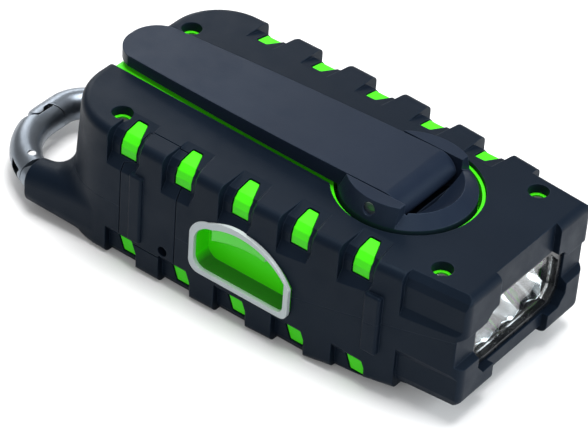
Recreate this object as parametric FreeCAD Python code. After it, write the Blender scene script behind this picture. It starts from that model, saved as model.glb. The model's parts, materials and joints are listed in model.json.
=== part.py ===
import FreeCAD, Part
import math
import os

# Hand-cranked camping radio: lamp at +X, clip ring at -X, crank on top, radio face underneath.
# Millimetres. The origin is on the resting plane, below the third window of the long sides.

V = FreeCAD.Vector
X_AXIS = V(1, 0, 0)
Y_AXIS = V(0, 1, 0)
Z_AXIS = V(0, 0, 1)

# ---- driving dimensions -------------------------------------------------------------------
deck = 35.7                 # height of the crank side above the resting plane
pitch = 16.0                # spacing of the windows along the body
window_count = 5
first_window_x = -2 * pitch # left edge of the first window
front_x = 61.6              # front of the corner pads
rear_low_x = -54.2          # rear wall at the resting plane
rear_top_x = -51.2          # rear wall at the deck: it leans forward
side_mid = 29.0             # half width of the body at x = 0, over the ribs
side_rear = 28.6            # half width at the rear wall, before its corners are rounded
side_front = 24.2           # half width at the lamp end
near_corner_r = 17.0        # rear corner on the opener side
far_corner_r = 14.0         # rear corner on the antenna side
front_corner_r = 2.8
edge_round = 2.0            # rounding of the top and bottom edges
chin_x = 22.0               # the underside rises from here to the lamp end
chin_rise = 5.5
channel = 1.6               # depth of the channels that the windows lie in
rubber = 2.8                # bumper wall
wall = 1.7                  # inner case wall
parting = 15.9              # height of the split between upper and lower halves
parting_bend_x = 19.0       # the split rises from here to the lamp end
parting_front = 24.0
gap = 0.3                   # clearance between bodies that move
pad_gap = 0.25              # the green pads lie this far under the channel floor

hub_x = 28.0
hub_r = 15.7                # at the deck
hub_top_r = 14.3
hub_top = deck + 4.6
ring_r = 17.4               # round end of the keyhole opening in the deck
well_r = 16.5
well_floor = deck - 7.0
hub_bottom = deck - 6.5
land = deck - 0.2           # level of the green land seen in the keyhole opening
hinge_z = deck + 2.3        # fold pin of the crank arm
pin_r = 1.5
arm_bottom = deck + 0.2
arm_root_half = 10.4
arm_tip_half = 7.8
arm_tip_x = -52.2
root_swing_r = 6.7          # reach of the arm's root about its pin

knob_x = -41.5
knob_r = 5.6

clip_z = 7.0                # centre height of the clip ring
clip_r = 3.9                # radius of its bar
clip_near_y = -25.5
clip_far_y = 6.5
clip_outer_x = -72.4
clip_near_turn = 18.8
clip_far_turn = 8.0
gate_pin = V(-62.6, -22.6, 0)
gate_reach = 19.6           # radius about the pin at which gate and hook meet
gate_root_angle = 248.6     # place of the joint along the near turn, in degrees
foot_end_x = -58.4
foot_blend = 6.0            # fairing between the foot and the body

door_left = -30.0
door_right = -14.0
door_bottom = 7.6
door_lip_y = -23.2          # the door's lip laps over the deck edge to here

lamp_half = 17.0            # half width of the lamp opening
lamp_low = 10.4
lamp_high = deck - 8.0
pad_step = 1.7              # how far the corner pads stand in front of the lamp face


# ---- small helpers ------------------------------------------------------------------------
def box(low, high):
    """Axis-aligned box between two corners given as (x, y, z)."""
    size = [b - a for a, b in zip(low, high)]
    return Part.makeBox(size[0], size[1], size[2], V(*low))


def rod(base, axis, radius, length):
    return Part.makeCylinder(radius, length, base, axis)


def tube(base, axis, outer, inner, length):
    return rod(base, axis, outer, length).cut(rod(base, axis, inner, length))


def prism(points, direction):
    """Extrude a closed polygon of points along a vector."""
    wire = Part.makePolygon(list(points) + [points[0]])
    return Part.Face(wire).extrude(direction)


def rounded_box(low, high, radius, axis=Z_AXIS):
    """Box whose four edges along one axis are rounded."""
    solid = box(low, high)
    along = [e for e in solid.Edges if abs(e.tangentAt(e.FirstParameter).dot(axis)) > 0.99]
    return solid.makeFillet(radius, along)


def arc(start, middle, end):
    return Part.Arc(start, middle, end).toShape()


def line(start, end):
    return Part.LineSegment(start, end).toShape()


def fuse(shapes):
    result = shapes[0]
    if len(shapes) > 1:
        result = result.multiFuse(shapes[1:])
    return result.removeSplitter()


def mirror_y(shape):
    return shape.mirror(V(0, 0, 0), Y_AXIS)


def edges_on_plane(solid, z, tolerance=0.01):
    return [e for e in solid.Edges
            if abs(e.BoundBox.ZMin - z) < tolerance and abs(e.BoundBox.ZMax - z) < tolerance]


def save(name, shape):
    shape.exportStep("parts/%s.step" % name)
    saved[name] = shape


saved = {}
os.makedirs("parts", exist_ok=True)


# ---- body hull ----------------------------------------------------------------------------
def hull(inset):
    """The body's closed form, moved inwards by inset on every side."""
    rear, front = rear_low_x + inset, front_x - inset
    rear_top = rear_top_x + inset
    y_rear, y_mid, y_front = side_rear - inset, side_mid - inset, side_front - inset
    outline = Part.Wire([
        arc(V(rear, -y_rear, inset), V(0, -y_mid, inset), V(front, -y_front, inset)),
        line(V(front, -y_front, inset), V(front, y_front, inset)),
        arc(V(front, y_front, inset), V(0, y_mid, inset), V(rear, y_rear, inset)),
        line(V(rear, y_rear, inset), V(rear, -y_rear, inset))])
    solid = Part.Face(outline).extrude(V(0, 0, deck - 2 * inset))
    solid = solid.cut(prism([V(rear, -40, 0), V(rear_top, -40, deck), V(rear - 9, -40, deck),
                             V(rear - 9, -40, 0)], V(0, 80, 0)))
    corners = [(rear, -1, near_corner_r - inset), (rear, 1, far_corner_r - inset),
               (front, -1, max(front_corner_r - inset, 0.5)), (front, 1, max(front_corner_r - inset, 0.5))]
    for x, side, radius in corners:
        upright = [e for e in solid.Edges if e.BoundBox.ZLength > 20
                   and abs(e.BoundBox.Center.x - x) < 3.5 and e.BoundBox.Center.y * side > 15]
        solid = solid.makeFillet(radius, upright)
    chin = prism([V(chin_x, -40, inset - 10), V(chin_x, -40, inset),
                  V(front_x + 10, -40, inset + chin_rise * (front_x + 10 - chin_x) / (front_x - chin_x)),
                  V(front_x + 10, -40, inset - 10)], V(0, 80, 0))
    radius = edge_round - inset
    if radius > 0.5:
        solid = solid.makeFillet(radius, edges_on_plane(solid, deck - inset))
    solid = solid.cut(chin)
    if radius > 0.5:
        low = [e for e in solid.Edges if e.BoundBox.ZMax < inset + chin_rise + 0.1
               and not (e.BoundBox.XLength < 0.01 and e.BoundBox.YLength > 50 and e.BoundBox.ZMax < 1)]
        low = [e for e in low if not (e.BoundBox.ZLength > 0.01 and e.BoundBox.XLength < 0.2)]
        solid = solid.makeFillet(radius, low)
    return solid


# ---- cutters shared by the bumper and the case -------------------------------------------
def window_xs():
    return [first_window_x + pitch * k for k in range(window_count)]


def half_width(x):
    """Half width of the body over the ribs at station x."""
    return 29.0 - 0.027 * x - 0.00075 * x * x


def across_edge(section, x, w, top, run):
    """Prism of a (distance beyond the side, depth below the edge) section, along the near side."""
    edge, down = (deck, -1.0) if top else (0.0, 1.0)
    return prism([V(x, -(w + y), edge + down * d) for y, d in section], run)


def channel_cutter(x, length, top, deeper=0.0):
    """Channel over the edge of the body that a window lies in: a wall on the left, a ramp on the right."""
    w = half_width(x + 3) - deeper
    if top:
        section = [(-9.0, 0.0), (-3.4, 1.1), (-channel - 0.5, 2.6), (-channel, 4.2),
                   (-channel, 6.6), (0.2, 9.6), (3.0, 9.6), (3.0, -3.0), (-9.0, -3.0)]
    else:
        section = [(-channel - 2.2, 0.0), (-channel - 0.5, 0.7), (-channel, 2.0),
                   (-channel, 6.0), (0.2, 8.4), (3.0, 8.4), (3.0, -3.0), (-channel - 2.2, -3.0)]
    section = [(y, d + deeper) for y, d in section]
    floor = across_edge(section, x - 2.3, w, top, V(length + 2.3, 0, 0))
    edge, down = (deck, -1.0) if top else (0.0, 1.0)
    foot_line = [V(x + length, -(w + y), edge + down * d) for y, d in section]
    brink_line = [V(x + length + 2.4, p.y - 2.6, p.z - down * 2.2) for p in foot_line]
    wires = [Part.makePolygon(points + [points[0]]) for points in (foot_line, brink_line)]
    return floor.fuse(Part.makeLoft(wires, True))


def front_step(top):
    """Shallow step that sets the lamp end back from the last rib."""
    x, length = first_window_x + pitch * window_count - 2.3, 26.0
    w = half_width(x + 3)
    lift = 0.0 if top else chin_rise * (x + 6 - chin_x) / (front_x - chin_x)
    section = [(-3.6, lift - 0.3), (-1.7, lift + 1.3), (-1.0, lift + 3.2), (-1.0, lift + 9.0),
               (0.3, lift + 11.6), (3.0, lift + 11.6), (3.0, -3.0), (-3.6, -3.0)]
    return across_edge(section, x, w, top, V(length, w - half_width(x + length) - 0.6, 0))


def window_cutter(x, top, shrink=0.0):
    """Window that shows the green case; the upper ones wrap over the edge of the body."""
    w = half_width(x + 2)
    if top:
        drop, rise = 6.7, 1.5
        plan = [V(x, -w + 7.9, 0), V(x + 3.1, -w + 7.9, 0), V(x + 4.9, -w + 3.0, 0),
                V(x + 4.7, -w - 3, 0), V(x, -w - 3, 0)]
        solid = prism(plan, V(0, 0, drop + rise))
        solid.translate(V(0, 0, deck - drop))
        upright = [e for e in solid.Edges if abs(e.tangentAt(e.FirstParameter).z) > 0.99]
    else:
        face = [V(x + 0.2, -w - 3, 6.8), V(x + 4.4, -w - 3, 6.9), V(x + 5.5, -w - 3, 5.8),
                V(x + 6.0, -w - 3, 2.3), V(x + 2.0, -w - 3, 2.3)]
        solid = prism(face, V(0, 8.0, 0))
        upright = [e for e in solid.Edges if abs(e.tangentAt(e.FirstParameter).y) > 0.99]
    solid = solid.makeFillet(0.6, upright)
    return solid.makeOffsetShape(-shrink, 0.01) if shrink else solid


def near_windows():
    return [(x, top) for x in window_xs() for top in (True, False)]


def green_pad(x, top):
    """Raised pad of the inner case that fills one window, just under the channel's floor."""
    pad = window_cutter(x, top, pad_gap).common(hull(pad_gap))
    return pad.cut(channel_cutter(x, 5.6, top, pad_gap))


def both_sides(shapes):
    return shapes + [mirror_y(s) for s in shapes]


def keyhole(margin=0.0, low=deck - 3.0, high=deck + 2.0):
    """Keyhole-shaped space for the crank: a slot open to the rear, ending in a round."""
    rear = rear_low_x - 8
    slot = prism([V(rear, -9.0 + margin, low), V(hub_x, -11.3 + margin, low),
                  V(hub_x, 11.3 - margin, low), V(rear, 9.0 - margin, low)], V(0, 0, high - low))
    return fuse([slot, rod(V(hub_x, 0, low), Z_AXIS, ring_r - margin, high - low)])


screw_places = [V(-36.1, -22.0, 0), V(-45.6, 14.1, 0), V(50.5, -18.2, 0), V(50.5, 18.2, 0)]
screw_head_r = 1.5
counterbore_r = 2.5
screw_boss_top = deck - 2.4
counterbore_floor = deck - 4.2


def lamp_mouth(margin, x_from):
    """Lamp opening: straight sill and brow, the four corners cut across."""
    y0, z0, z1 = lamp_half + margin, lamp_low - margin, lamp_high + margin
    outline = [(-y0 + 2.4, z0), (y0 - 2.4, z0), (y0, z0 + 2.8), (y0, z1 - 4.0), (y0 - 3.4, z1 - 0.6),
               (y0 - 5.8, z1), (-y0 + 5.8, z1), (-y0 + 3.4, z1 - 0.6), (-y0, z1 - 4.0), (-y0, z0 + 2.8)]
    return prism([V(x_from, y, z) for y, z in outline], V(front_x + 3 - x_from, 0, 0))


def door_space(margin):
    """Upright slab that the port door fills, with its lip over the deck edge."""
    side = [V(door_left - margin, 0, door_bottom - margin), V(door_right + margin, 0, door_bottom - margin),
            V(door_right + margin, 0, deck + 3), V(door_left + 3.2 - margin, 0, deck + 3),
            V(door_left + 3.2 - margin, 0, deck - 6.6), V(door_left - margin, 0, deck - 7.6)]
    outer = prism([p + V(0, -40, 0) for p in side], V(0, 40 + door_lip_y + margin, 0))
    return outer


def opener_profile(inset):
    """D-shaped outline of the opener ring, upright in the side of the body."""
    x0, x1, z0 = -9.6 + inset, 18.6 - inset, 9.6 + inset
    crown = 26.6 - inset
    points = [V(x0 + 3, 0, z0), V(x1 - 2, 0, z0), V(x1, 0, z0 + 2), V(x1, 0, z0 + 8.6)]
    edges = [line(points[0], points[1]),
             arc(points[1], V(x1 - 0.6, 0, z0 + 0.6), points[2]),
             line(points[2], points[3]),
             arc(points[3], V(7.6, 0, crown), V(x0 + 5.0, 0, crown - 1.6)),
             arc(V(x0 + 5.0, 0, crown - 1.6), V(x0 + 1.5, 0, crown - 3.4), V(x0, 0, crown - 6.4)),
             line(V(x0, 0, crown - 6.4), V(x0, 0, z0 + 3)),
             arc(V(x0, 0, z0 + 3), V(x0 + 0.9, 0, z0 + 0.9), points[0])]
    return Part.Face(Part.Wire(edges))


def opener_space(inset, depth_from, depth_to):
    face = opener_profile(inset)
    face.translate(V(0, depth_from, 0))
    return face.extrude(V(0, depth_to - depth_from, 0))


antenna_y = 27.2
antenna_z = 17.8
antenna_pivot_x = 38.0
antenna_tip_x = -38.0
antenna_r = 2.2

key_centres = {"key_power": (-34.0, -13.0), "key_band": (-34.0, 0.0), "key_light": (-34.0, 13.0),
               "key_tune_down": (-21.0, -18.5), "key_tune_up": (-7.0, -18.5),
               "key_volume_down": (-21.0, 18.5), "key_volume_up": (-7.0, 18.5)}
key_r = 3.2
key_travel = 0.8
speaker_x = 19.0
speaker_r = 13.5
display_low = (-26.0, -9.5)
display_high = (-3.0, 9.5)
face_recess = 0.7
pocket_gap = 0.3            # the opener's pocket stands this far inside the ring's outline
ring_width = 1.3


# ---- bumper halves and inner case ---------------------------------------------------------
def barrel_section(x, near_y, far_y, low, high, r):
    """Rounded rectangle across the X axis."""
    k = r * (1 - math.sqrt(0.5))
    return Part.Wire([
        line(V(x, near_y + r, low), V(x, far_y - r, low)),
        arc(V(x, far_y - r, low), V(x, far_y - k, low + k), V(x, far_y, low + r)),
        line(V(x, far_y, low + r), V(x, far_y, high - r)),
        arc(V(x, far_y, high - r), V(x, far_y - k, high - k), V(x, far_y - r, high)),
        line(V(x, far_y - r, high), V(x, near_y + r, high)),
        arc(V(x, near_y + r, high), V(x, near_y + k, high - k), V(x, near_y, high - r)),
        line(V(x, near_y, high - r), V(x, near_y, low + r)),
        arc(V(x, near_y, low + r), V(x, near_y + k, low + k), V(x, near_y + r, low))])


def with_rear_foot(body):
    """Add the foot that carries the clip ring, faired into the rear corner of the body."""
    foot = Part.makeLoft([barrel_section(-36.0, -29.0, -19.0, 0.0, 14.6, 4.4),
                          barrel_section(foot_end_x, -30.0, -21.2, 1.6, 12.4, 4.1)], True, True)
    joined = body.fuse(foot).removeSplitter()
    seam = []
    for edge in joined.Edges:
        span = edge.BoundBox
        if span.XMax < -34 and span.XMin > foot_end_x + 1 and span.ZMin > 3:
            middle = Part.Vertex(edge.valueAt((edge.FirstParameter + edge.LastParameter) / 2))
            if foot.Shells[0].distToShape(middle)[0] < 0.01 and body.Shells[0].distToShape(middle)[0] < 0.01:
                seam.append(edge)
    return joined.makeFillet(foot_blend, seam)


def with_corner_pads(shell):
    """Set the lamp face back between the four corner pads."""
    face_x = front_x - pad_step
    waist_low, waist_high = deck - 19.6, deck - 10.8
    waist = prism([V(face_x, -40, waist_low + 0.8), V(face_x, -40, waist_high - 0.8),
                   V(front_x + 1, -40, waist_high + 0.8), V(front_x + 1, -40, waist_low - 0.8)], V(0, 80, 0))
    brow = box((face_x, -11.4, deck - 12), (front_x + 2, 11.4, deck + 2))
    sill = box((face_x, -10.6, -2), (front_x + 2, 10.6, lamp_low + 2))
    under = box((front_x - 8.0, -10.6, -2), (front_x + 2, 10.6, chin_rise + 1.3))
    for cutter in (waist, brow, sill, under):
        shell = shell.cut(cutter)
    return shell


def grip_rib(x, width, low, high):
    """Upright finger rib on the opener side, standing proud of the body."""
    w = half_width(x + width / 2)
    rib = rounded_box((x, -w - 1.0, low), (x + width, -w + 1.4, high), 0.7, Z_AXIS)
    return rib.makeFillet(0.6, [e for e in rib.Edges if e.BoundBox.ZLength < 0.01 and e.BoundBox.YMax < -w])


def antenna_groove():
    """Groove along the far side, open at the rear so that the whip can be drawn out."""
    return box((rear_low_x - 4, antenna_y - 3.4, antenna_z - 3.2),
               (antenna_pivot_x + 4.4, antenna_y + 6, antenna_z + 3.2))


outer = hull(0.0)
inner = hull(rubber)
cavity = hull(rubber + wall)

shell = with_rear_foot(outer)
for x, top in near_windows():
    for cutter in both_sides([channel_cutter(x, 5.6, top)]):
        shell = shell.cut(cutter)
for cutter in both_sides([front_step(True), front_step(False)]):
    shell = shell.cut(cutter)
shell = with_corner_pads(shell)
shell = shell.fuse(grip_rib(37.2, 4.4, 11.5, 27.6)).cut(inner)
for x, top in near_windows():
    for cutter in both_sides([window_cutter(x, top)]):
        shell = shell.cut(cutter)
shell = shell.cut(keyhole())
for place in screw_places:
    shell = shell.cut(rod(place + V(0, 0, deck - 8), Z_AXIS, counterbore_r, 12))
shell = shell.cut(lamp_mouth(0.0, front_x - 8))
shell = shell.cut(opener_space(0.0, -32, -20))
shell = shell.cut(antenna_groove())
for x, y in key_centres.values():
    shell = shell.cut(rod(V(x, y, -1), Z_AXIS, key_r + 0.35, 6))
shell = shell.cut(rod(V(speaker_x, 0, -1), Z_AXIS, speaker_r, 6))
shell = shell.cut(rounded_box(display_low + (-1,), display_high + (5,), 2.0))

antenna_pin = rod(V(antenna_pivot_x, antenna_y, antenna_z - 4.4), Z_AXIS, 1.0, 8.8)
shell = shell.cut(antenna_pin)


# ---- clip ring ----------------------------------------------------------------------------
def clip_bar(radius):
    """The whole ring as one bar: near leg, near turn, outer leg, far turn, far leg."""
    diag = math.sqrt(0.5)
    near_x = clip_outer_x + clip_near_turn
    far_x = clip_outer_x + clip_far_turn
    near_c = V(near_x, clip_near_y + clip_near_turn, clip_z)
    far_c = V(far_x, clip_far_y - clip_far_turn, clip_z)
    p0 = V(-52.0, clip_near_y, clip_z)
    p1 = V(near_x, clip_near_y, clip_z)
    p2 = V(clip_outer_x, near_c.y, clip_z)
    p3 = V(clip_outer_x, far_c.y, clip_z)
    p4 = V(far_x, clip_far_y, clip_z)
    p5 = V(-47.5, clip_far_y, clip_z)
    path = Part.Wire([
        line(p0, p1),
        arc(p1, near_c + V(-diag, -diag, 0) * clip_near_turn, p2),
        line(p2, p3),
        arc(p3, far_c + V(-diag, diag, 0) * clip_far_turn, p4),
        line(p4, p5)])
    ring = Part.Wire(Part.Circle(p0, X_AXIS, radius).toShape())
    return path.makePipeShell([ring], True, False)


def reach(radius, low, high):
    """Upright disc about the gate pin."""
    return rod(V(gate_pin.x, gate_pin.y, low), Z_AXIS, radius, high - low)


def sector(angle_from, angle_to):
    """Wedge of space about the centre of the near turn, between two angles in degrees."""
    centre = V(clip_outer_x + clip_near_turn, clip_near_y + clip_near_turn, clip_low)
    points = [centre]
    steps = 6
    for k in range(steps + 1):
        a = math.radians(angle_from + (angle_to - angle_from) * k / steps)
        points.append(centre + V(math.cos(a), math.sin(a), 0) * 60.0)
    return prism(points, V(0, 0, clip_high - clip_low))


bar = clip_bar(clip_r)
clip_low, clip_high = clip_z - 6, clip_z + 6
tongue_half = 1.25
pivot_relief = 4.3          # the base is hollowed to this radius about the pin
nub_centre = V(-73.5, -9.0, clip_low)
nub_r = 1.8

root_side = sector(gate_root_angle + 0.8, 330)
gate_side = sector(100, gate_root_angle)
flat = (clip_z - tongue_half, clip_z + tongue_half)
bridge = prism([gate_pin + V(*c) for c in ((-0.9, -3.1, flat[0]), (7.4, -5.2, flat[0]), (8.4, -1.0, flat[0]),
                                           (0.9, 2.9, flat[0]))], V(0, 0, 2 * tongue_half))
tongue = bar.common(fuse([reach(3.3, *flat), bridge]))
clip_base = fuse([bar.common(root_side).cut(reach(pivot_relief + gap, clip_low, clip_high)), tongue])
clip_base = clip_base.cut(reach(1.0, clip_low, clip_high))

key_slot = reach(gate_reach + 1.5, clip_low, clip_high).cut(reach(15.0, clip_low - 1, clip_high + 1))
key_slot = key_slot.common(box((-90, -14, clip_low), (nub_centre.x + nub_r + gap, 0, clip_high)))
clip_gate = bar.common(gate_side).common(reach(gate_reach, clip_low, clip_high)).cut(key_slot)
clip_gate = clip_gate.cut(reach(4.7, flat[0] - gap, flat[1] + gap)).cut(reach(1.06, clip_low, clip_high))

nub = fuse([rod(nub_centre, Z_AXIS, nub_r, clip_high - clip_low),
            box((-80, nub_centre.y, clip_low), (nub_centre.x + 0.9, -1.0, clip_high))])
clip_hook = bar.cut(reach(gate_reach + gap, clip_low, clip_high))
clip_hook = clip_hook.cut(box((-90, -60, clip_low), (-30, -9.0, clip_high)))
clip_hook = fuse([clip_hook, bar.common(nub)])
gate_pin_solid = reach(1.0, clip_z - 3.6, clip_z + 3.72)

shell = shell.cut(bar)

slope = (parting_front - parting) / (front_x - parting_bend_x)
split_line = [V(-90, -50, parting), V(parting_bend_x, -50, parting),
              V(90, -50, parting + slope * (90 - parting_bend_x))]
below = prism(split_line + [V(90, -50, -5), V(-90, -50, -5)], V(0, 100, 0))
above = prism(split_line + [V(90, -50, 60), V(-90, -50, 60)], V(0, 100, 0))
door_cut = shell.cut(door_space(0.25))
save("upper_bumper", door_cut.common(above))
save("lower_bumper", door_cut.common(below))

# ---- inner case ---------------------------------------------------------------------------
case = inner.cut(cavity)
pads = [p.cut(inner) for x, top in near_windows() for p in both_sides([green_pad(x, top)])]
land_solid = keyhole(0.15, deck - 3.0, land).common(hull(1.0))
cup = rod(V(hub_x, 0, well_floor - 1.6), Z_AXIS, well_r + 1.5, land - well_floor + 1.6).common(inner)
posts = [rod(p + V(0, 0, deck - 12), Z_AXIS, counterbore_r - 0.05, screw_boss_top - deck + 12)
         for p in screw_places]
bosses = [rod(p + V(0, 0, deck - 12), Z_AXIS, 3.6, 12 - rubber - 0.3).common(inner) for p in screw_places]
case = fuse([case, land_solid, cup] + bosses + [p.common(hull(1.0)) for p in posts])
case = case.fuse(Part.makeCompound(pads))
case = case.cut(rod(V(hub_x, 0, well_floor), Z_AXIS, well_r, 20))
case = case.cut(rod(V(hub_x, 0, 10), Z_AXIS, 4.0, 25))
for place in screw_places:
    case = case.cut(rod(place + V(0, 0, counterbore_floor), Z_AXIS, screw_head_r + 0.2, 12))
    case = case.cut(rod(place + V(0, 0, 5), Z_AXIS, 1.05, 30))
case = case.cut(lamp_mouth(0.0, front_x - 9))
case = case.cut(opener_space(pocket_gap, -32, -20))
case = case.cut(antenna_groove())
for x, y in key_centres.values():
    case = case.cut(rod(V(x, y, -1), Z_AXIS, key_r + 0.35, 8))
case = case.cut(rod(V(speaker_x, 0, -1), Z_AXIS, speaker_r - 1.0, 8))
case = case.cut(rounded_box((display_low[0] + 1.2, display_low[1] + 1.2, -1),
                            (display_high[0] - 1.2, display_high[1] - 1.2, 8), 1.5))
case = case.cut(box((door_left + 2.5, -30, door_bottom + 2), (door_right - 3.0, -20, deck - 9)))
case = case.cut(bar).cut(antenna_pin)
save("upper_case", case.common(above))
save("lower_case", case.common(below))

# ---- port door and the ports behind it ----------------------------------------------------
door_solid = shell.common(door_space(0.0)).common(box((-60, -40, door_bottom), (60, 0, 60)))
door_solid = door_solid.cut(hull(rubber - 0.25))
grip = grip_rib(-27.2, 3.8, 8.8, 27.6)
door_solid = fuse([door_solid, grip])
door_solid = door_solid.cut(rod(V(-17.2, -32, 9.9), Y_AXIS, 1.3, 4.6))
save("port_door", door_solid)
save("port_panel", box((door_left + 2.8, -24.4, door_bottom + 2.3), (door_right - 3.3, -23.2, deck - 9.3))
     .cut(box((-26.4, -26, 20.0), (-18.6, -22, 23.2))).cut(rod(V(-22.5, -26, 14.2), Y_AXIS, 1.9, 5)))
usb = rounded_box((-26.3, -24.2, 20.1), (-18.7, -17.5, 23.1), 0.5, Y_AXIS)
usb = usb.cut(rounded_box((-25.9, -25, 20.5), (-19.1, -18.2, 22.7), 0.4, Y_AXIS))
save("charging_socket", fuse([usb, box((-24.9, -23.4, 21.3), (-20.1, -18.0, 21.9))]))
save("earphone_jack", tube(V(-22.5, -24.4, 14.2), Y_AXIS, 1.85, 1.3, 8.0)
     .fuse(box((-25.2, -22.9, 11.2), (-19.8, -16.2, 17.2)).cut(rod(V(-22.5, -26, 14.2), Y_AXIS, 1.85, 9.4)))
     .removeSplitter())

# ---- bottle opener ------------------------------------------------------------------------
plate_out, plate_in = -29.5, -28.5
pocket_back = -22.9
ring = opener_space(0.0, plate_out, plate_in).cut(opener_space(ring_width, -40, -10))
lip = opener_space(ring_width - 0.1, plate_out + 0.2, plate_in).cut(opener_space(3.6, -40, -10))
lip = lip.common(box((-3.4, -40, 17.0), (11.6, -10, 40)))
save("opener_ring", fuse([ring, lip]))
pocket = opener_space(pocket_gap, plate_in, pocket_back).cut(opener_space(ring_width, -40, pocket_back - 1.1))
save("opener_pocket", pocket)

# ---- clip ring nodes ----------------------------------------------------------------------
save("clip_base", clip_base)
save("clip_gate", clip_gate)
save("clip_gate_pin", gate_pin_solid)
save("clip_hook", clip_hook)

# ---- crank --------------------------------------------------------------------------------
crest_z = deck + 2.2
crest_r = 12.4
slot_end = hub_x + 6.6
cheek_y = arm_root_half + gap
lower_ring = rod(V(hub_x, 0, hub_bottom), Z_AXIS, hub_r, deck - 0.2 - hub_bottom)
crown = Part.makeCone(hub_r, hub_top_r, hub_top - deck + 0.2, V(hub_x, 0, deck - 0.2), Z_AXIS)
apron = Part.makeCone(hub_r, crest_r, crest_z - deck + 0.2, V(hub_x, 0, deck - 0.2), Z_AXIS)
crown = crown.cut(box((slot_end, -20, deck - 1), (hub_x + 20, 20, deck + 9)))
hub = fuse([lower_ring, crown, apron])
hub = hub.cut(box((hub_x - 20, -cheek_y, deck + 0.1), (slot_end, cheek_y, deck + 9)))
hub = hub.cut(rod(V(hub_x, -cheek_y, hinge_z), Y_AXIS, root_swing_r + 0.5, 2 * cheek_y))
scoop_r = 17.1
scoop = Part.makeSphere(scoop_r, V(hub_x, 0, deck + 13.9))
hub = hub.cut(scoop.common(box((slot_end, -20, deck - 5), (hub_x + 20, 20, deck + 9))))
shaft_r = 2.5
shaft_low = deck - 20.0
crank_shaft = rod(V(hub_x, 0, shaft_low), Z_AXIS, shaft_r, hub_bottom - shaft_low)
hub = hub.cut(rod(V(hub_x, -hub_r, hinge_z), Y_AXIS, pin_r, 2 * hub_r))
save("crank_hub", hub)
save("crank_shaft", crank_shaft)
save("crank_bush", tube(V(hub_x, 0, well_floor - 1.6), Z_AXIS, 4.0, shaft_r + 0.05, 2.0))
save("fold_pin", rod(V(hub_x, -14.5, hinge_z), Y_AXIS, pin_r, 29.0))

plan = Part.Wire([
    arc(V(hub_x + 5.6, -arm_root_half, 0), V(-8, -9.7, 0), V(arm_tip_x + 5.4, -arm_tip_half, 0)),
    arc(V(arm_tip_x + 5.4, -arm_tip_half, 0), V(arm_tip_x + 1.5, -5.1, 0), V(arm_tip_x, 0, 0)),
    arc(V(arm_tip_x, 0, 0), V(arm_tip_x + 1.5, 5.1, 0), V(arm_tip_x + 5.4, arm_tip_half, 0)),
    arc(V(arm_tip_x + 5.4, arm_tip_half, 0), V(-8, 9.7, 0), V(hub_x + 5.6, arm_root_half, 0)),
    line(V(hub_x + 5.6, arm_root_half, 0), V(hub_x + 5.6, -arm_root_half, 0))])
arm_plan = Part.Face(plan).extrude(V(0, 0, 14))
arm_plan.translate(V(0, 0, deck - 6))
arm_top_root, arm_top_tip = deck + 4.7, deck + 3.0
end_x = hub_x + 5.6
profile = Part.Wire([
    line(V(arm_tip_x - 1, -12, arm_bottom), V(hub_x - 4.6, -12, arm_bottom)),
    line(V(hub_x - 4.6, -12, arm_bottom), V(hub_x - 2.0, -12, deck - 1.6)),
    line(V(hub_x - 2.0, -12, deck - 1.6), V(end_x - 2.2, -12, deck - 1.6)),
    arc(V(end_x - 2.2, -12, deck - 1.6), V(end_x - 0.5, -12, deck - 0.8), V(end_x, -12, deck + 0.6)),
    arc(V(end_x, -12, deck + 0.6), V(end_x - 1.4, -12, deck + 3.3), V(hub_x + 0.8, -12, arm_top_root)),
    line(V(hub_x + 0.8, -12, arm_top_root), V(arm_tip_x - 1, -12, arm_top_tip)),
    line(V(arm_tip_x - 1, -12, arm_top_tip), V(arm_tip_x - 1, -12, arm_bottom))])
arm = Part.Face(profile).extrude(V(0, 24, 0)).common(arm_plan)
arm = arm.cut(rod(V(hub_x, -20, hinge_z), Y_AXIS, pin_r + 0.05, 40))
arm = arm.cut(rod(V(knob_x, 0, deck - 1), Z_AXIS, knob_r + gap, 1 + 2.1))
save("crank_arm", arm)
knob_top = deck + 1.8
knob = tube(V(knob_x, 0, arm_bottom), Z_AXIS, knob_r, 1.26, knob_top - arm_bottom)
save("crank_knob", knob)
save("knob_pin", rod(V(knob_x, 0, arm_bottom + 0.1), Z_AXIS, 1.2, deck + 2.1 - arm_bottom - 0.1))


# ---- gear train and generator -------------------------------------------------------------
def gear(centre_x, teeth, module, low, height, bore, phase=0.0):
    """Spur gear with straight-flanked teeth, about an upright axis."""
    pitch_r = teeth * module / 2.0
    tip_r, root_r = pitch_r + 0.85 * module, pitch_r - 1.15 * module
    step = 2 * math.pi / teeth
    points = []
    for k in range(teeth):
        a = phase + k * step
        for r, turn in ((root_r, -0.34), (pitch_r, -0.225), (tip_r, -0.10), (tip_r, 0.10),
                        (pitch_r, 0.225), (root_r, 0.34)):
            points.append(V(centre_x + r * math.cos(a + turn * step), r * math.sin(a + turn * step), low))
    solid = prism(points, V(0, 0, height))
    return solid.cut(rod(V(centre_x, 0, low - 1), Z_AXIS, bore, height + 2)) if bore else solid


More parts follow.
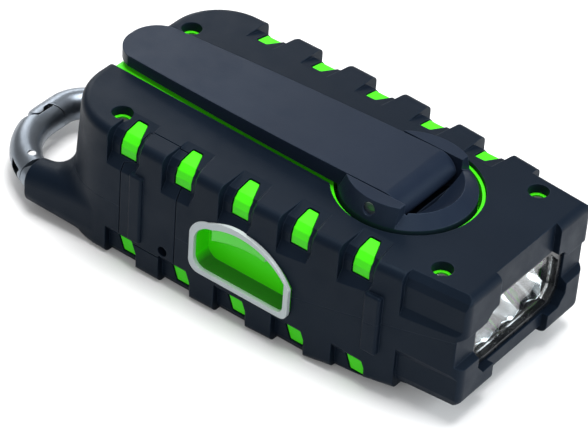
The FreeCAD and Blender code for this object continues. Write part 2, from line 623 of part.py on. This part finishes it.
drive_teeth, drive_module = 32, 0.7
idler_teeth, idler_module = 30, 0.6
pinion_teeth = 10
mesh_gap = 0.10
idler_x = hub_x - (drive_teeth + pinion_teeth) * drive_module / 2 - mesh_gap
motor_x = idler_x - (idler_teeth + pinion_teeth) * idler_module / 2 - mesh_gap
drive_low = deck - 11.6
idler_low = deck - 15.0
half_tooth = math.pi / pinion_teeth
save("drive_gear", gear(hub_x, drive_teeth, drive_module, drive_low, 2.4, shaft_r))
idler = gear(idler_x, pinion_teeth, drive_module, drive_low - 0.6, 3.0, 0, half_tooth)
wheel = gear(idler_x, idler_teeth, idler_module, idler_low, 2.2, 0)
save("idler_gear", fuse([idler, rod(V(idler_x, 0, idler_low + 2.1), Z_AXIS, 2.4, 0.8), wheel])
     .cut(rod(V(idler_x, 0, 0), Z_AXIS, 1.05, 40)))
save("idler_pin", rod(V(idler_x, 0, deck - 17.0), Z_AXIS, 1.0, 8.3))
rotor = fuse([gear(motor_x, pinion_teeth, idler_module, idler_low - 0.2, 2.6, 0, half_tooth),
              rod(V(motor_x, 0, 8.5), Z_AXIS, 1.0, idler_low - 8.5),
              rod(V(motor_x, 0, 9.2), Z_AXIS, 6.8, 6.9)])
save("generator_rotor", rotor)
can_low, can_high = 8.0, deck - 18.3
can = rod(V(motor_x, 0, can_low), Z_AXIS, 9.0, can_high - can_low)
can = can.cut(rod(V(motor_x, 0, 8.9), Z_AXIS, 7.4, 7.7)).cut(rod(V(motor_x, 0, 0), Z_AXIS, 1.08, 40))
save("generator_can", can)
gear_plate = box((motor_x - 8, -11, deck - 18.2), (hub_x + 6, 11, deck - 17.0))
gear_plate = gear_plate.cut(rod(V(motor_x, 0, 0), Z_AXIS, 2.2, 40))
gear_plate = gear_plate.cut(rod(V(hub_x, 0, 0), Z_AXIS, shaft_r + 0.05, 40))
save("gear_plate", gear_plate)

# ---- electronics --------------------------------------------------------------------------
board_z = 5.4
save("main_board", box((-44, -20.5, board_z), (3.5, 20.5, board_z + 1.2)))
save("battery_pack", fuse([rounded_box((-42, y - 5.3, 9.0), (-14, y + 5.3, 19.6), 5.0, X_AXIS)
                           for y in (-5.4, 5.4)]))
speaker = fuse([rod(V(speaker_x, 0, 4.7), Z_AXIS, 12.2, 1.6), rod(V(speaker_x, 0, 6.3), Z_AXIS, 7.5, 1.2)])
save("speaker", speaker)
grille = rod(V(speaker_x, 0, face_recess), Z_AXIS, speaker_r, 1.1)
for k in range(-3, 4):
    half = math.sqrt(max(11.2 ** 2 - (3.3 * k) ** 2, 4.0))
    grille = grille.cut(rounded_box((speaker_x - half, 3.3 * k - 0.75, -1), (speaker_x + half, 3.3 * k + 0.75, 3),
                                    0.7))
save("speaker_grille", grille)
save("display_window", rounded_box(display_low + (face_recess,), display_high + (face_recess + 1.2,), 2.0))
save("display_panel", box((display_low[0] + 2, display_low[1] + 2, 2.6),
                          (display_high[0] - 2, display_high[1] - 2, 4.6)))
for name, (x, y) in key_centres.items():
    key = rod(V(x, y, face_recess - 0.3), Z_AXIS, key_r, 3.6)
    key = key.makeFillet(0.4, edges_on_plane(key, face_recess - 0.3))
    save(name, key)
save("ferrite_antenna", rod(V(-40, 16.5, 24.0), X_AXIS, 3.0, 46))

# ---- lamp ---------------------------------------------------------------------------------
lens_x = front_x - 5.0
bezel_back = lens_x - 2.0


def lamp_slab(margin, x_from, x_to):
    """The lamp opening's outline as a solid between two stations."""
    return lamp_mouth(margin, x_from).common(box((x_from, -40, 0), (x_to, 40, deck + 10)))


save("lamp_bezel", lamp_slab(-0.05, bezel_back, front_x - pad_step - 0.6).cut(lamp_mouth(-1.3, 0)))
save("lamp_lens", lamp_slab(-1.35, lens_x, lens_x + 1.2))
reflector = lamp_slab(-1.4, lens_x - 8.5, lens_x - 0.3)
led_ys = (-9.8, 0.0, 9.8)
lamp_z = (lamp_low + lamp_high) / 2
led_x = lens_x - 9.0
for y in led_ys:
    rim = [V(led_x + d, 0, 2.0 + 5.6 * math.sqrt(d / 8.7)) for d in (0.0, 0.6, 1.7, 3.4, 5.6, 8.8)]
    curve = Part.BSplineCurve()
    curve.interpolate(rim)
    half = Part.Face(Part.Wire([line(V(led_x, 0, 0), rim[0]), curve.toShape(), line(rim[-1], V(rim[-1].x, 0, 0)),
                                line(V(rim[-1].x, 0, 0), V(led_x, 0, 0))]))
    bowl = half.revolve(V(0, 0, 0), X_AXIS, 360)
    bowl.translate(V(0, y, lamp_z))
    reflector = reflector.cut(bowl)
save("lamp_reflector", reflector)
save("lamp_board", box((led_x - 1.2, -13.5, lamp_low + 3), (led_x, 13.5, lamp_high - 3)))
save("lamp_leds", Part.makeCompound([rod(V(led_x, y, lamp_z), X_AXIS, 1.5, 2.2) for y in led_ys]))

# ---- telescopic antenna -------------------------------------------------------------------
knuckle = rod(V(antenna_pivot_x, antenna_y, antenna_z - 2.7), Z_AXIS, 2.5, 5.4)
knuckle = knuckle.cut(rod(V(antenna_pivot_x, antenna_y, 0), Z_AXIS, 1.06, 40))
stage_base_x = antenna_pivot_x - 1.5
stages = [("antenna_stage_1", 2.2, 1.75, 66.0), ("antenna_stage_2", 1.70, 1.25, 68.5),
          ("antenna_stage_3", 1.2, 0, 71.0)]
for name, r_out, r_in, length in stages:
    start = V(stage_base_x, antenna_y, antenna_z)
    if name == "antenna_stage_1":
        stage = rod(start, -X_AXIS, r_out, length).cut(rod(start + V(-3, 0, 0), -X_AXIS, r_in, length))
        stage = stage.cut(rod(V(antenna_pivot_x, antenna_y, 0), Z_AXIS, 1.06, 40))
        save("antenna_base", fuse([knuckle, stage]))
    else:
        offset = V(-3.4, 0, 0)
        stage = rod(start + offset, -X_AXIS, r_out, length - 3.4 + 1.0)
        if r_in:
            stage = stage.cut(rod(start, -X_AXIS, r_in, length + 5))
        else:
            stage = fuse([stage, rod(start + V(-length - 1.0, 0, 0), -X_AXIS, 2.2, 2.4)])
        save(name, stage)
save("antenna_pin", antenna_pin)

# ---- fasteners ----------------------------------------------------------------------------
screws = []
for place in screw_places:
    head = rod(place + V(0, 0, counterbore_floor), Z_AXIS, screw_head_r, 1.6)
    head = head.cut(box((place.x - 1.3, place.y - 0.25, counterbore_floor + 0.9),
                        (place.x + 1.3, place.y + 0.25, counterbore_floor + 2)))
    screws.append(fuse([head, rod(place + V(0, 0, 8.0), Z_AXIS, 1.0, counterbore_floor - 8.0)]))
save("case_screws", Part.makeCompound(screws))

for name, shape in sorted(saved.items()):
    if not shape.isValid() or shape.Volume <= 0:
        print("check", name, shape.isValid(), round(shape.Volume, 1))
print(len(saved), "nodes")
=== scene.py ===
"""Looks of the hand-cranked camping radio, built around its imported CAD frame."""
import json
import math

import bmesh
import bpy
from mathutils import Matrix, Vector

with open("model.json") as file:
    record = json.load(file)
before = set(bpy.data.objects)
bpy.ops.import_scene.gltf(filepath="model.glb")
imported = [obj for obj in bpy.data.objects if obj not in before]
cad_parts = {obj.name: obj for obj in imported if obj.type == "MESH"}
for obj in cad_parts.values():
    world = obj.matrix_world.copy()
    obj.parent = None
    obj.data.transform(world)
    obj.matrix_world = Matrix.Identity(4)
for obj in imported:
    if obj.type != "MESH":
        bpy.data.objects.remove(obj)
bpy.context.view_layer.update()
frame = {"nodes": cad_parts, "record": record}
nodes = frame["nodes"]
MM = 0.001


# ---- camera -------------------------------------------------------------------------------
def add_camera():
    """Camera at the catalogue picture's angle: a long lens from high on the opener side."""
    place = Vector((314.3, -448.3, 445.2)) * MM
    forward = Vector((-0.45168, 0.63996, -0.62164)).normalized()
    roll = math.radians(-4.46)
    right = forward.cross(Vector((0, 0, 1))).normalized()
    up = right.cross(forward)
    turned_right = right * math.cos(roll) - up * math.sin(roll)
    turned_up = up * math.cos(roll) + right * math.sin(roll)
    matrix = Matrix((turned_right, turned_up, -forward)).transposed().to_4x4()
    matrix.translation = place
    data = bpy.data.cameras.new("camera")
    data.lens = 186.0
    data.sensor_width = 36.0
    data.clip_start = 0.05
    data.clip_end = 20.0
    data.dof.use_dof = False
    camera = bpy.data.objects.new("camera", data)
    camera.matrix_world = matrix
    bpy.context.scene.collection.objects.link(camera)
    bpy.context.scene.camera = camera


add_camera()


# ---- materials ----------------------------------------------------------------------------
def new_material(name, color, roughness, metallic=0.0, specular=0.5, ior=1.5):
    material = bpy.data.materials.new(name)
    material.use_nodes = True
    tree = material.node_tree
    tree.nodes.clear()
    out = tree.nodes.new("ShaderNodeOutputMaterial")
    shader = tree.nodes.new("ShaderNodeBsdfPrincipled")
    shader.inputs["Base Color"].default_value = (*color, 1.0)
    shader.inputs["Roughness"].default_value = roughness
    shader.inputs["Metallic"].default_value = metallic
    shader.inputs["Specular IOR Level"].default_value = specular
    shader.inputs["IOR"].default_value = ior
    tree.links.new(shader.outputs[0], out.inputs[0])
    return material, tree, shader


def noise(tree, scale, detail=3.0, roughness=0.5, stretch=(1.0, 1.0, 1.0)):
    coords = tree.nodes.new("ShaderNodeTexCoord")
    mapping = tree.nodes.new("ShaderNodeMapping")
    mapping.inputs["Scale"].default_value = stretch
    node = tree.nodes.new("ShaderNodeTexNoise")
    node.inputs["Scale"].default_value = scale
    node.inputs["Detail"].default_value = detail
    node.inputs["Roughness"].default_value = roughness
    tree.links.new(coords.outputs["Object"], mapping.inputs["Vector"])
    tree.links.new(mapping.outputs[0], node.inputs["Vector"])
    return node.outputs["Fac"]


def remap(tree, source, low, high, low_value, high_value):
    node = tree.nodes.new("ShaderNodeMapRange")
    node.inputs["From Min"].default_value = low
    node.inputs["From Max"].default_value = high
    node.inputs["To Min"].default_value = low_value
    node.inputs["To Max"].default_value = high_value
    tree.links.new(source, node.inputs["Value"])
    return node.outputs[0]


def combine(tree, operation, a, b):
    """One value from two, by a Math node."""
    node = tree.nodes.new("ShaderNodeMath")
    node.operation = operation
    tree.links.new(a, node.inputs[0])
    tree.links.new(b, node.inputs[1])
    return node.outputs[0]


def mix_color(tree, factor, a, b):
    """Mix two colours; each is a tuple or another node's output."""
    node = tree.nodes.new("ShaderNodeMix")
    node.data_type = "RGBA"
    for key, value in (("A", a), ("B", b)):
        socket = [s for s in node.inputs if s.name == key and s.type == "RGBA"][0]
        if isinstance(value, tuple):
            socket.default_value = (*value, 1.0)
        else:
            tree.links.new(value, socket)
    factor_socket = [s for s in node.inputs if s.name == "Factor" and s.type == "VALUE"][0]
    tree.links.new(factor, factor_socket)
    return [s for s in node.outputs if s.type == "RGBA"][0]


def painted_edge_highlight(tree, radius, strength):
    """A mask from 0 to strength, high where the rounded normal leaves the true one: at edges, where a paler
    colour is painted on as a painted highlight.
    """
    bevel = tree.nodes.new("ShaderNodeBevel")
    bevel.samples = 4
    bevel.inputs["Radius"].default_value = radius
    geometry = tree.nodes.new("ShaderNodeNewGeometry")
    dot = tree.nodes.new("ShaderNodeVectorMath")
    dot.operation = "DOT_PRODUCT"
    tree.links.new(bevel.outputs[0], dot.inputs[0])
    tree.links.new(geometry.outputs["Normal"], dot.inputs[1])
    return remap(tree, dot.outputs["Value"], 0.985, 0.80, 0.0, strength)


def finish(tree, shader, height, strength, distance, rounding=0.0):
    """Fine surface relief on top of softly rounded edges."""
    node = tree.nodes.new("ShaderNodeBump")
    node.inputs["Strength"].default_value = strength
    node.inputs["Distance"].default_value = distance
    tree.links.new(height, node.inputs["Height"])
    if rounding:
        bevel = tree.nodes.new("ShaderNodeBevel")
        bevel.samples = 6
        bevel.inputs["Radius"].default_value = rounding
        tree.links.new(bevel.outputs[0], node.inputs["Normal"])
    tree.links.new(node.outputs[0], shader.inputs["Normal"])


def moulded(name, color, dark, roughness, grain_scale=2600.0, grain=0.25, spread=0.07, specular=0.4,
            rounding=0.0003, highlight_amount=0.0, highlight_color=(0.1, 0.1, 0.1), tint=(1.0, 1.0, 1.0)):
    """Moulded plastic or rubber: spark-eroded grain, slow colour drift, uneven sheen, and edges painted
    paler as a painted highlight.
    """
    material, tree, shader = new_material(name, color, roughness, specular=specular)
    shader.inputs["Specular Tint"].default_value = (*tint, 1.0)
    drift = remap(tree, noise(tree, 38.0, 2.0), 0.35, 0.65, 0.0, 1.0)
    base = mix_color(tree, drift, dark, color)
    # painted highlight: a paler colour is painted along edges, in patches, for light catching them
    if highlight_amount:
        patches = remap(tree, noise(tree, 420.0, 4.0, 0.65), 0.35, 0.6, 0.3, 1.0)
        highlight_mask = combine(tree, "MULTIPLY", painted_edge_highlight(tree, 0.5 * MM, highlight_amount), patches)
        base = mix_color(tree, highlight_mask, base, highlight_color)
    tree.links.new(base, shader.inputs["Base Color"])
    sheen = remap(tree, noise(tree, 190.0, 4.0, 0.6), 0.3, 0.7, roughness - spread, roughness + spread)
    tree.links.new(sheen, shader.inputs["Roughness"])
    finish(tree, shader, noise(tree, grain_scale, 3.0, 0.6), grain, 0.00006, rounding)
    return material


def metal(name, color, dark, roughness, stretch=(1.0, 1.0, 1.0), scale=900.0, strength=0.12, spread=0.06,
          rounding=0.0002):
    """Metal with a faint directional finish."""
    material, tree, shader = new_material(name, color, roughness, metallic=1.0)
    lines = noise(tree, scale, 4.0, 0.6, stretch)
    tree.links.new(mix_color(tree, remap(tree, noise(tree, 120.0, 3.0), 0.35, 0.65, 0.0, 1.0), dark, color),
                   shader.inputs["Base Color"])
    tree.links.new(remap(tree, lines, 0.3, 0.7, roughness - spread, roughness + spread),
                   shader.inputs["Roughness"])
    finish(tree, shader, lines, strength, 0.00004, rounding)
    return material


def clear(name, color, roughness):
    """Clear plastic with a faint smear in its polish."""
    material, tree, shader = new_material(name, color, roughness, ior=1.49)
    shader.inputs["Transmission Weight"].default_value = 1.0
    tree.links.new(remap(tree, noise(tree, 160.0, 3.0), 0.35, 0.7, roughness, roughness + 0.05),
                   shader.inputs["Roughness"])
    return material


# highlight_amount and highlight_color set the painted edge highlight on the rubber, the crank and the
# opener
looks = {
    "bumper_rubber": moulded("bumper_rubber_look", (0.0048, 0.0088, 0.0168), (0.0038, 0.0072, 0.0140), 0.46,
                             specular=0.10, highlight_amount=0.45, highlight_color=(0.026, 0.038, 0.060), tint=(0.62, 0.82, 1.0)),
    "crank_plastic": moulded("crank_plastic_look", (0.0105, 0.0165, 0.0310), (0.0088, 0.0140, 0.0270), 0.40,
                             specular=0.13, highlight_amount=0.5, highlight_color=(0.040, 0.055, 0.085), tint=(0.62, 0.82, 1.0)),
    "green_plastic": moulded("green_plastic_look", (0.075, 0.92, 0.008), (0.062, 0.86, 0.006), 0.36,
                             900.0, 0.06, 0.05, 0.22),
    "black_plastic": moulded("black_plastic_look", (0.006, 0.007, 0.009), (0.005, 0.006, 0.008), 0.28,
                             1800.0, 0.12),
    "key_rubber": moulded("key_rubber_look", (0.035, 0.042, 0.052), (0.028, 0.034, 0.043), 0.6),
    "opener_metal": moulded("opener_paint_look", (0.56, 0.62, 0.62), (0.52, 0.58, 0.59), 0.34,
                            3200.0, 0.15, 0.05, 0.6, highlight_amount=0.6, highlight_color=(0.78, 0.82, 0.82)),
    "clip_metal": metal("clip_metal_look", (0.200, 0.228, 0.262), (0.170, 0.195, 0.228), 0.36, scale=1400.0,
                        strength=0.10),
    "steel": metal("steel_look", (0.52, 0.53, 0.54), (0.46, 0.47, 0.48), 0.30, (1.0, 1.0, 12.0)),
    "magnet": metal("magnet_look", (0.30, 0.30, 0.31), (0.26, 0.26, 0.27), 0.38),
    "gear_nylon": moulded("gear_nylon_look", (0.72, 0.70, 0.64), (0.66, 0.64, 0.58), 0.45),
    "circuit_board": moulded("circuit_board_look", (0.015, 0.14, 0.045), (0.01, 0.11, 0.035), 0.35),
    "battery_wrap": moulded("battery_wrap_look", (0.03, 0.08, 0.28), (0.02, 0.06, 0.24), 0.28),
    "speaker_cone": moulded("speaker_cone_look", (0.02, 0.02, 0.022), (0.014, 0.014, 0.016), 0.8),
    "clear_window": clear("clear_window_look", (0.97, 0.99, 0.99), 0.02),
    "display_grey": moulded("display_look", (0.32, 0.36, 0.30), (0.29, 0.33, 0.27), 0.3),
    "ferrite": moulded("ferrite_look", (0.04, 0.036, 0.036), (0.03, 0.028, 0.028), 0.6),
    "reflector_chrome": metal("reflector_look", (0.86, 0.90, 0.92), (0.84, 0.90, 0.94), 0.11, scale=260.0,
                              strength=0.02, spread=0.02),
    "led_yellow": moulded("led_look", (0.92, 0.86, 0.55), (0.88, 0.80, 0.45), 0.2),
    "antenna_chrome": metal("antenna_look", (0.78, 0.79, 0.80), (0.74, 0.75, 0.76), 0.12,
                            (10.0, 1.0, 1.0), 500.0, 0.03, 0.03),
}

def repaint(material, source, low, high, color):
    """Lay a second colour over a look where the value of source passes from low to high."""
    tree = material.node_tree
    socket = tree.nodes["Principled BSDF"].inputs["Base Color"]
    base = socket.links[0].from_socket
    tree.links.new(mix_color(tree, remap(tree, source, low, high, 0.0, 1.0), base, color), socket)


def axis_value(material, vector, axis):
    """One component of a vector output."""
    split = material.node_tree.nodes.new("ShaderNodeSeparateXYZ")
    material.node_tree.links.new(vector, split.inputs[0])
    return split.outputs[axis]


def green_lip(material):
    """The opener's catching lip stands just behind its rim: the only face there that looks outward."""
    rim_face_y = -29.5 * MM
    tree = material.node_tree
    place = tree.nodes.new("ShaderNodeTexCoord").outputs["Object"]
    facing = tree.nodes.new("ShaderNodeNewGeometry").outputs["True Normal"]
    depth = axis_value(material, place, 1)
    behind = remap(tree, depth, rim_face_y + 0.08 * MM, rim_face_y + 0.16 * MM, 0.0, 1.0)
    outward = remap(tree, axis_value(material, facing, 1), -0.5, -0.8, 0.0, 1.0)
    repaint(material, combine(tree, "MULTIPLY", behind, outward), 0.0, 1.0, (0.060, 0.78, 0.008))


def pocket_plastic_painted_shade():
    """Green plastic whose upward faces, the pocket's floor, are painted dark: painted shade for the shadow
    inside the pocket.
    """
    material = moulded("opener_pocket_painted_shade_look", (0.075, 0.92, 0.008), (0.062, 0.86, 0.006), 0.40,
                       900.0, 0.06, 0.05, 0.20)
    facing = material.node_tree.nodes.new("ShaderNodeNewGeometry").outputs["True Normal"]
    # painted shade: upward-facing faces are painted dark green where the pocket's floor lies in shadow
    repaint(material, axis_value(material, facing, 2), 0.2, 0.8, (0.045, 0.230, 0.025))
    return material


green_lip(looks["opener_metal"])
# the opener pocket's material, with painted shade on its floor
pocket = pocket_plastic_painted_shade()
slot_of = {part["node"]: part["material_slot"] for part in frame["record"]["subparts"]}
for name, obj in nodes.items():
    for slot in obj.material_slots:
        slot.material = pocket if name == "opener_pocket" else looks[slot_of[name]]


# ---- stage --------------------------------------------------------------------------------
def add_floor():
    """White ground that bounces less light than it shows, so that the radio's sides stay dark."""
    mesh = bpy.data.meshes.new("floor")
    shape = bmesh.new()
    bmesh.ops.create_grid(shape, x_segments=1, y_segments=1, size=6.0)
    shape.to_mesh(mesh)
    shape.free()
    floor = bpy.data.objects.new("floor", mesh)
    bpy.context.scene.collection.objects.link(floor)
    material, tree, shader = new_material("floor_look", (0.92, 0.92, 0.92), 0.9, specular=0.1)
    soft = noise(tree, 3.0, 2.0)
    seen = mix_color(tree, soft, (0.92, 0.92, 0.92), (0.95, 0.95, 0.95))
    path = tree.nodes.new("ShaderNodeLightPath")
    direct = combine(tree, "MAXIMUM", path.outputs["Is Camera Ray"], path.outputs["Is Glossy Ray"])
    tree.links.new(mix_color(tree, direct, (0.36, 0.37, 0.40), seen), shader.inputs["Base Color"])
    mesh.materials.append(material)


def add_light(name, place, size, energy, target=(0, 0, 0.02), color=(1, 1, 1)):
    data = bpy.data.lights.new(name, "AREA")
    data.shape = "RECTANGLE"
    data.size, data.size_y = size
    data.energy = energy
    data.color = color
    lamp = bpy.data.objects.new(name, data)
    lamp.location = place
    lamp.rotation_euler = (Vector(target) - Vector(place)).to_track_quat("-Z", "Y").to_euler()
    bpy.context.scene.collection.objects.link(lamp)


def add_world():
    world = bpy.data.worlds.new("studio")
    world.use_nodes = True
    world.node_tree.nodes["Background"].inputs["Color"].default_value = (1.0, 1.0, 1.0, 1.0)
    world.node_tree.nodes["Background"].inputs["Strength"].default_value = 0.36
    bpy.context.scene.world = world


add_floor()
add_world()
add_light("overhead", (0.02, 0.06, 0.95), (0.55, 0.45), 9.0)
add_light("far_sheen", (-0.75, 0.60, 0.45), (0.5, 0.4), 3.0)
add_light("opener_side", (0.25, -0.75, 0.55), (0.5, 0.4), 1.6)
add_light("lamp_side", (0.80, 0.20, 0.35), (0.7, 0.5), 6.0, color=(0.90, 0.96, 1.0))
bpy.context.scene.view_settings.view_transform = "Standard"
bpy.context.scene.view_settings.look = "None"
